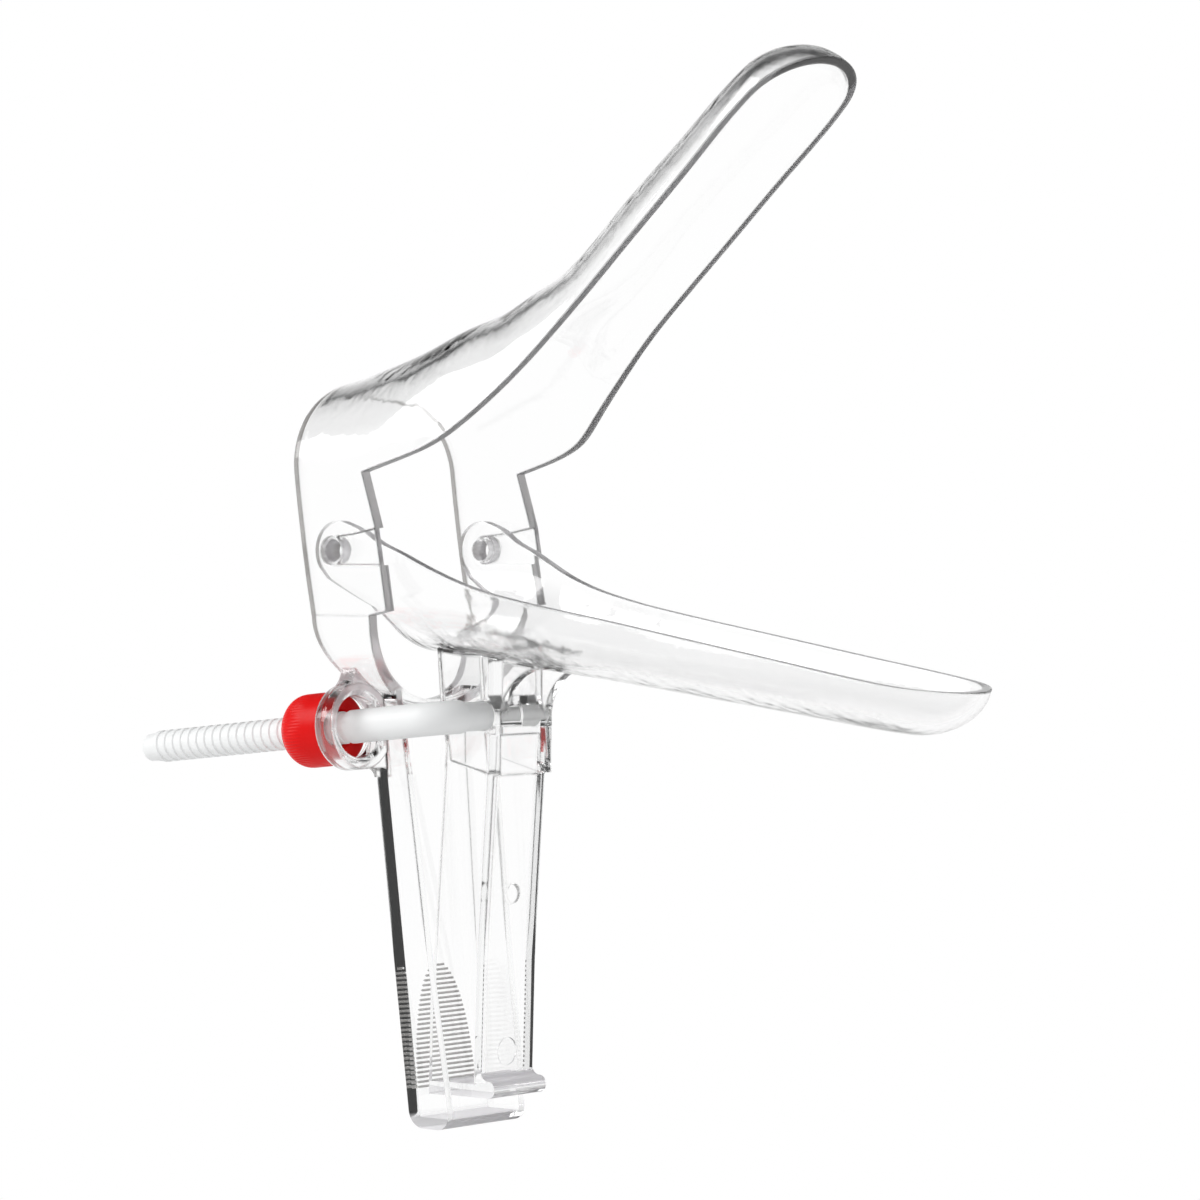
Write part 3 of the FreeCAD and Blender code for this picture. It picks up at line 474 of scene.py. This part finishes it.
# %% Screw rod: its sizes and its place
joints = {joint["name"]: joint for joint in frame["record"]["behaviour"]["joints"]}
pivot = Vector(joints["screw_pivot"]["pos_m"])
slide = Vector(joints["nut_travel"]["axis"])
ROD_OFFSET = 17.0 * MM
SHANK, NECK, ARM = 2.75 * MM, 2.4 * MM, 1.95 * MM
CORE, CREST, LEAD = 2.48 * MM, 2.70 * MM, 2.34 * MM
ELBOW = 4.5 * MM
ARM_END, NECK_END, NECK_START = 24.4 * MM, 12.2 * MM, 4.8 * MM
SHANK_END, THREAD_END, ROD_END = 19.0 * MM, 64.1 * MM, 66.45 * MM
rod_place = Matrix.Translation(pivot - Vector((0.0, ROD_OFFSET, 0.0)))
rod_place @= Matrix.Rotation(math.pi - math.asin(-slide.z), 4, "Y")
print("rod runs from", [round(c, 4) for c in rod_place.translation])


# %% Screw rod: one step of the round section
def grow(shape, rim, step, widen=1.0):
    """Extrudes an open rim, sizes it round its own middle, and returns the new rim."""
    made = bmesh.ops.extrude_edge_only(shape, edges=rim)["geom"]
    points = [item for item in made if isinstance(item, bmesh.types.BMVert)]
    middle = sum((point.co for point in points), Vector()) / len(points)
    bmesh.ops.scale(shape, verts=points, vec=(widen, widen, widen), space=Matrix.Translation(-middle))
    bmesh.ops.translate(shape, verts=points, vec=step)
    return rim_of(points)


def rim_of(points):
    """The edges that join neighbouring points of one section."""
    known = set(points)
    return [edge for edge in {edge for point in points for edge in point.link_edges}
            if edge.verts[0] in known and edge.verts[1] in known]


# %% Screw rod: arm, neck and elbow
ROD_SIDES, ELBOW_STEPS = 64, 14
END_ROUND, NECK_STEP = ARM * 0.5, 0.2 * MM
rod = bmesh.new()
start = bmesh.ops.create_circle(rod, cap_ends=True, segments=ROD_SIDES, radius=END_ROUND)["verts"]
bmesh.ops.rotate(rod, verts=rod.verts, matrix=Matrix.Rotation(math.pi / 2, 3, "X"))
bmesh.ops.translate(rod, verts=rod.verts, vec=(0.0, ARM_END, 0.0))
rim = rim_of(start)
radius = END_ROUND
for part in (0.80, 0.95, 1.0):
    wanted = ARM * part
    rest = ARM_END - END_ROUND + END_ROUND * math.sqrt(1 - (2 * part - 1) ** 2)
    rim = grow(rod, rim, (0.0, rest - rim[0].verts[0].co.y, 0.0), wanted / radius)
    radius = wanted
rim = grow(rod, rim, (0.0, NECK_END - ARM_END + END_ROUND, 0.0))
rim = grow(rod, rim, (0.0, 0.0, 0.0), NECK / ARM)
rim = grow(rod, rim, (0.0, NECK_START - NECK_END, 0.0))
rim = grow(rod, rim, (0.0, -NECK_STEP, 0.0), SHANK / NECK)
rim = grow(rod, rim, (0.0, ELBOW - NECK_START + NECK_STEP, 0.0))
turned = bmesh.ops.spin(rod, geom=rim, cent=(ELBOW, ELBOW, 0.0), axis=(0.0, 0.0, 1.0),
                        angle=math.pi / 2, steps=ELBOW_STEPS)["geom_last"]
rim = rim_of([item for item in turned if isinstance(item, bmesh.types.BMVert)])
print("arm and elbow:", len(rod.faces), "faces")

# %% Screw rod: shank, core and lead
SHOULDER, LEAD_STEP = 0.3 * MM, 0.1 * MM
END_BEVELS = ((0.35 * MM, 0.93), (0.15 * MM, 0.88))
rim = grow(rod, rim, (SHANK_END - ELBOW, 0.0, 0.0))
rim = grow(rod, rim, (SHOULDER, 0.0, 0.0), CORE / SHANK)
rim = grow(rod, rim, (THREAD_END - SHANK_END - SHOULDER, 0.0, 0.0))
rim = grow(rod, rim, (LEAD_STEP, 0.0, 0.0), LEAD / CORE)
plain_end = ROD_END - THREAD_END - LEAD_STEP - sum(step for step, narrower in END_BEVELS)
rim = grow(rod, rim, (plain_end, 0.0, 0.0))
for step, narrower in END_BEVELS:
    rim = grow(rod, rim, (step, 0.0, 0.0), narrower)
bmesh.ops.contextual_create(rod, geom=rim)
bmesh.ops.recalc_face_normals(rod, faces=rod.faces)
print("whole bar:", len(rod.faces), "faces")

# %% [markdown]
# The thread is a low ridge that winds round the core. Spin can do that too: with a
# small step along the axis at each turn of the section it draws a screw. Rings would
# be quicker, but the slant of the turns is what the eye reads as a thread.

# %% Screw rod: the thread
THREAD_PITCH, RIDGE_FOOT, RIDGE_TOP = 1.9 * MM, 1.35 * MM, 0.80 * MM
THREAD_GAP, SINK = 0.9 * MM, 0.15 * MM
TURN_STEPS = 40
turns = (THREAD_END - SHANK_END - THREAD_GAP - RIDGE_FOOT) / THREAD_PITCH
ridge = bmesh.new()
from_x = SHANK_END + THREAD_GAP
slope = (RIDGE_FOOT - RIDGE_TOP) / 2
section = ridge.faces.new([
    ridge.verts.new((from_x, 0.0, CORE - SINK)),
    ridge.verts.new((from_x + slope, 0.0, CREST)),
    ridge.verts.new((from_x + slope + RIDGE_TOP, 0.0, CREST)),
    ridge.verts.new((from_x + RIDGE_FOOT, 0.0, CORE - SINK)),
])
steps = int(turns * TURN_STEPS)
bmesh.ops.spin(ridge, geom=[section], cent=(0.0, 0.0, 0.0), axis=(1.0, 0.0, 0.0),
               dvec=(THREAD_PITCH / TURN_STEPS, 0.0, 0.0),
               angle=2 * math.pi * steps / TURN_STEPS, steps=steps)
bmesh.ops.remove_doubles(ridge, verts=ridge.verts, dist=1e-7)
bmesh.ops.recalc_face_normals(ridge, faces=ridge.faces)
print("thread of", round(turns, 1), "turns,", len(ridge.faces), "faces, ends at",
      round(max(point.co.x for point in ridge.verts) / MM, 2), "mm")


# %% Screw rod: made into a piece
def finish_piece(name, parts, place, material, sharp_deg):
    """Joins bmeshes into one object whose place is in its mesh."""
    mesh = bpy.data.meshes.new(name)
    whole = bmesh.new()
    for part in parts:
        part.to_mesh(mesh)
        part.free()
        whole.from_mesh(mesh)
    bmesh.ops.transform(whole, matrix=place, verts=whole.verts)
    for face in whole.faces:
        face.smooth = True
    whole.to_mesh(mesh)
    whole.free()
    mesh.set_sharp_from_angle(angle=math.radians(sharp_deg))
    mesh.materials.append(material)
    piece = bpy.data.objects.new(name, mesh)
    bpy.context.scene.collection.objects.link(piece)
    return piece


def tell_size(piece, node):
    """Prints how far a piece reaches, beside the node that it stands for."""
    low = [min(v.co[i] for v in piece.data.vertices) for i in range(3)]
    high = [max(v.co[i] for v in piece.data.vertices) for i in range(3)]
    for name, box in ((piece.name, (low, high)), (node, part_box(node))):
        print(name, [[round(c, 4) for c in corner] for corner in box])


threaded_rod = finish_piece("threaded_rod", [rod, ridge], rod_place, white_plastic, 32)
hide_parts("screw_rod")
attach(threaded_rod, "screw")
tell_size(threaded_rod, "screw_rod")

# %% [markdown]
# The red nut is turned like a small bottle cap: a smooth collar towards the eye, a
# fine step, then a grip with low ribs that fade into a rounded end. A profile spun
# once round the rod gives all of that. For the ribs every other column of points
# is drawn in by a tenth of a millimetre, which costs no extra faces.

# %% Lock nut: the profile, in the rod's own line
NUT_AT = 21.75 * MM
NUT_LENGTH, NUT_RADIUS, NUT_BORE = 9.4 * MM, 6.1 * MM, 2.78 * MM
COLLAR, COLLAR_RADIUS, DOME = 3.0 * MM, 5.96 * MM, 2.8 * MM
BEVEL, STEP, DOME_STEPS = 0.5 * MM, 0.15 * MM, 8
profile = [
    (BEVEL, NUT_BORE),
    (0.0, NUT_BORE + BEVEL),
    (0.0, COLLAR_RADIUS - 0.4 * MM),
    (0.12 * MM, COLLAR_RADIUS - 0.12 * MM),
    (0.4 * MM, COLLAR_RADIUS),
    (COLLAR, COLLAR_RADIUS),
    (COLLAR + STEP, NUT_RADIUS),
]
for part in range(DOME_STEPS + 1):
    turn = math.pi / 2 * part / DOME_STEPS
    along, across = DOME * math.sin(turn), DOME * math.cos(turn)
    profile.append((NUT_LENGTH - DOME + along, NUT_RADIUS - DOME + across))
profile += [(NUT_LENGTH - BEVEL, NUT_BORE)]
print("nut profile of", len(profile), "points")

# %% Lock nut: spun, then ribbed
RIBS, RIB_DEPTH, RIBS_FADE = 72, 0.11 * MM, 8.3 * MM
nut = bmesh.new()
line = [nut.verts.new((NUT_AT + x, 0.0, radius)) for x, radius in profile]
edges = [nut.edges.new(pair) for pair in zip(line, line[1:] + line[:1])]
bmesh.ops.spin(nut, geom=line + edges, cent=(0.0, 0.0, 0.0), axis=(1.0, 0.0, 0.0),
               angle=2 * math.pi, steps=2 * RIBS, use_merge=True)
bmesh.ops.remove_doubles(nut, verts=nut.verts, dist=1e-7)
for point in nut.verts:
    along, radius = point.co.x - NUT_AT, math.hypot(point.co.y, point.co.z)
    column = round(math.atan2(point.co.y, point.co.z) / (math.pi / RIBS))
    if column % 2 and COLLAR + 0.1 * MM < along < RIBS_FADE and radius > NUT_BORE + BEVEL:
        drawn_in = (radius - RIB_DEPTH) / radius
        point.co.y *= drawn_in
        point.co.z *= drawn_in
bmesh.ops.recalc_face_normals(nut, faces=nut.faces)
ribbed_nut = finish_piece("ribbed_nut", [nut], rod_place, red_plastic, 38)
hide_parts("lock_nut")
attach(ribbed_nut, "nut")
tell_size(ribbed_nut, "lock_nut")

# %% [markdown]
# The two valves have their true shape in the model already, with every rib, hole
# and rounding, so they only change their finish, through their material slots.

# %% Finishes on the model's own pieces
for name in ("upper_valve", "lower_valve"):
    for slot in nodes[name].material_slots:
        slot.material = clear
    print(name, "is dressed in", clear.name, "with", len(nodes[name].data.polygons), "faces")

# %% [markdown]
# At the end the box of the model, measured before it was dressed, is printed.

# %% End: the model's box
print("model", [[round(c, 4) for c in corner] for corner in cad_box])
